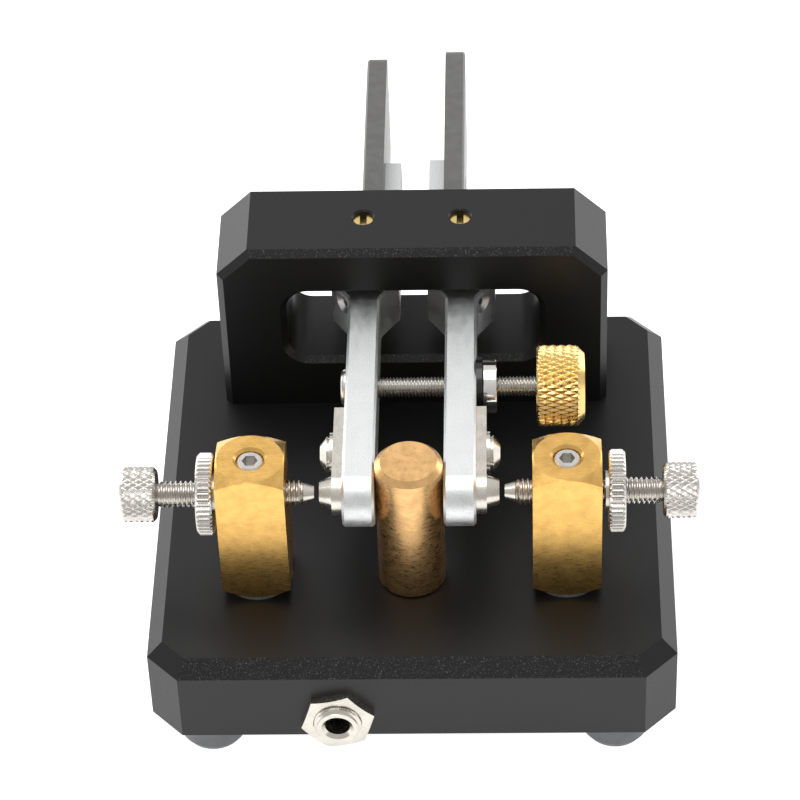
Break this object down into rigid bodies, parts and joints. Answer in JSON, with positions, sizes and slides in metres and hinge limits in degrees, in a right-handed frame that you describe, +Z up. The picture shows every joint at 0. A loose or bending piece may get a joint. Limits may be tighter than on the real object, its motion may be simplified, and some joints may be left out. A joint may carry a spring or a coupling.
{
  "type": "morse paddle key",
  "caption": "Dual-lever morse paddle: black base and bridge, pivoted aluminium levers, brass posts with knurled contact screws, magnet return and a jack socket.",
  "frame": {"origin": "bottom centre of the bounding box, on the surface the rubber feet stand on", "axes": "+Y along the levers from the contact end to the finger plates, +Z up, X along the contact screws"},
  "size_m": [0.082, 0.1112, 0.0484],
  "materials": {
    "black_anodised": "satin black anodised, bead-blasted",
    "black_cover": "matte",
    "steel_screw": "bright turned",
    "foot_rubber": "semi-gloss moulded",
    "small_brass": "turned",
    "post_brass": "milled, lightly scratched",
    "rose_brass": "polished, scratched",
    "knob_brass": "bright, diamond knurled",
    "clear_insulator": "clear",
    "black_plastic": "moulded",
    "seat_plastic": "glossy",
    "tinned_metal": "tinned",
    "nickel": "nickel plated",
    "plate_nickel": "nickel plated, satin",
    "knurled_nickel": "nickel plated, knurled",
    "magnet_nickel": "nickel plated, mirror",
    "lever_aluminium": "bead-blasted",
    "finger_plastic": "fine matte",
    "wire_sleeve": "soft insulation"
  },
  "bodies": {
    "base": {"base_plate": "black_anodised", "bottom_cover": "black_cover", "cover_screws": "steel_screw", "rubber_feet": "foot_rubber", "bridge": "black_anodised", "bridge_screws": "steel_screw", "pivot_screws": "small_brass", "lower_pivots": "small_brass", "left_post": "post_brass", "right_post": "post_brass", "centre_post": "rose_brass", "post_washers": "clear_insulator", "shoulder_bushes": "black_plastic", "solder_lugs": "tinned_metal", "post_screws": "steel_screw", "post_set_screws": "steel_screw", "jack_body": "black_plastic", "jack_contacts": "tinned_metal", "jack_bushing": "nickel", "jack_nut": "nickel", "wires": "wire_sleeve"},
    "left_lever": {"left_arm": "lever_aluminium", "left_pivot_bushes": "small_brass", "left_clamp_screw": "steel_screw", "left_contact_plate": "plate_nickel", "left_contact_rivet": "nickel", "left_plate_washers": "nickel", "left_plate_screw": "nickel", "left_finger_plate": "finger_plastic", "left_finger_screws": "steel_screw", "tension_screw": "steel_screw"},
    "right_lever": {"right_arm": "lever_aluminium", "right_pivot_bushes": "small_brass", "right_clamp_screw": "steel_screw", "right_contact_plate": "plate_nickel", "right_contact_rivet": "nickel", "right_plate_washers": "nickel", "right_plate_screw": "nickel", "right_finger_plate": "finger_plastic", "right_finger_screws": "steel_screw", "magnet_seat": "seat_plastic", "ring_magnet": "magnet_nickel"},
    "left_tip": {"left_contact_tip": "nickel"},
    "left_screw": {"left_contact_screw": "knurled_nickel"},
    "right_tip": {"right_contact_tip": "nickel"},
    "right_screw": {"right_contact_screw": "knurled_nickel"},
    "left_wheel": {"left_lock_wheel": "knurled_nickel"},
    "right_wheel": {"right_lock_wheel": "knurled_nickel"},
    "knob_carrier": {"knob_magnet": "magnet_nickel"},
    "knob": {"tension_knob": "knob_brass"}
  },
  "joints": [
    {"name": "left_lever_pivot", "type": "hinge", "parent": "base", "child": "left_lever", "pos_m": [-0.0072, 0.0094, 0.0348], "axis": [0, 0, 1], "range_deg": [-0.9, 0], "stiffness_Nm_per_rad": 0.3, "springref_deg": 1.72},
    {"name": "right_lever_pivot", "type": "hinge", "parent": "base", "child": "right_lever", "pos_m": [0.0072, 0.0094, 0.0348], "axis": [0, 0, 1], "range_deg": [0, 0.9], "stiffness_Nm_per_rad": 0.3, "springref_deg": -1.72},
    {"name": "left_contact_travel", "type": "slide", "parent": "base", "child": "left_tip", "axis": [-1, 0, 0], "range_m": [0, 0.0014]},
    {"name": "left_contact_turn", "type": "hinge", "parent": "left_tip", "child": "left_screw", "pos_m": [-0.025, -0.0349, 0.0348], "axis": [-1, 0, 0], "range_deg": [0, 720.5]},
    {"name": "left_wheel_turn", "type": "hinge", "parent": "base", "child": "left_wheel", "pos_m": [-0.029, -0.0349, 0.0348], "axis": [-1, 0, 0], "range_deg": [0, 90]},
    {"name": "right_contact_travel", "type": "slide", "parent": "base", "child": "right_tip", "axis": [1, 0, 0], "range_m": [0, 0.0014]},
    {"name": "right_contact_turn", "type": "hinge", "parent": "right_tip", "child": "right_screw", "pos_m": [0.025, -0.0349, 0.0348], "axis": [1, 0, 0], "range_deg": [0, 720.5]},
    {"name": "right_wheel_turn", "type": "hinge", "parent": "base", "child": "right_wheel", "pos_m": [0.029, -0.0349, 0.0348], "axis": [1, 0, 0], "range_deg": [-90, 90]},
    {"name": "knob_travel", "type": "slide", "parent": "left_lever", "child": "knob_carrier", "axis": [1, 0, 0], "range_m": [-0.002, 0.001]},
    {"name": "knob_turn", "type": "hinge", "parent": "knob_carrier", "child": "knob", "pos_m": [0.0218, -0.0131, 0.0348], "axis": [1, 0, 0], "range_deg": [-1440.5, 720.5]}
  ],
  "couplings": [
    {"joint": "left_contact_turn", "follows": "left_contact_travel", "rad_per_m": 8976},
    {"joint": "right_contact_turn", "follows": "right_contact_travel", "rad_per_m": 8976},
    {"joint": "knob_turn", "follows": "knob_travel", "rad_per_m": 12566}
  ]
}
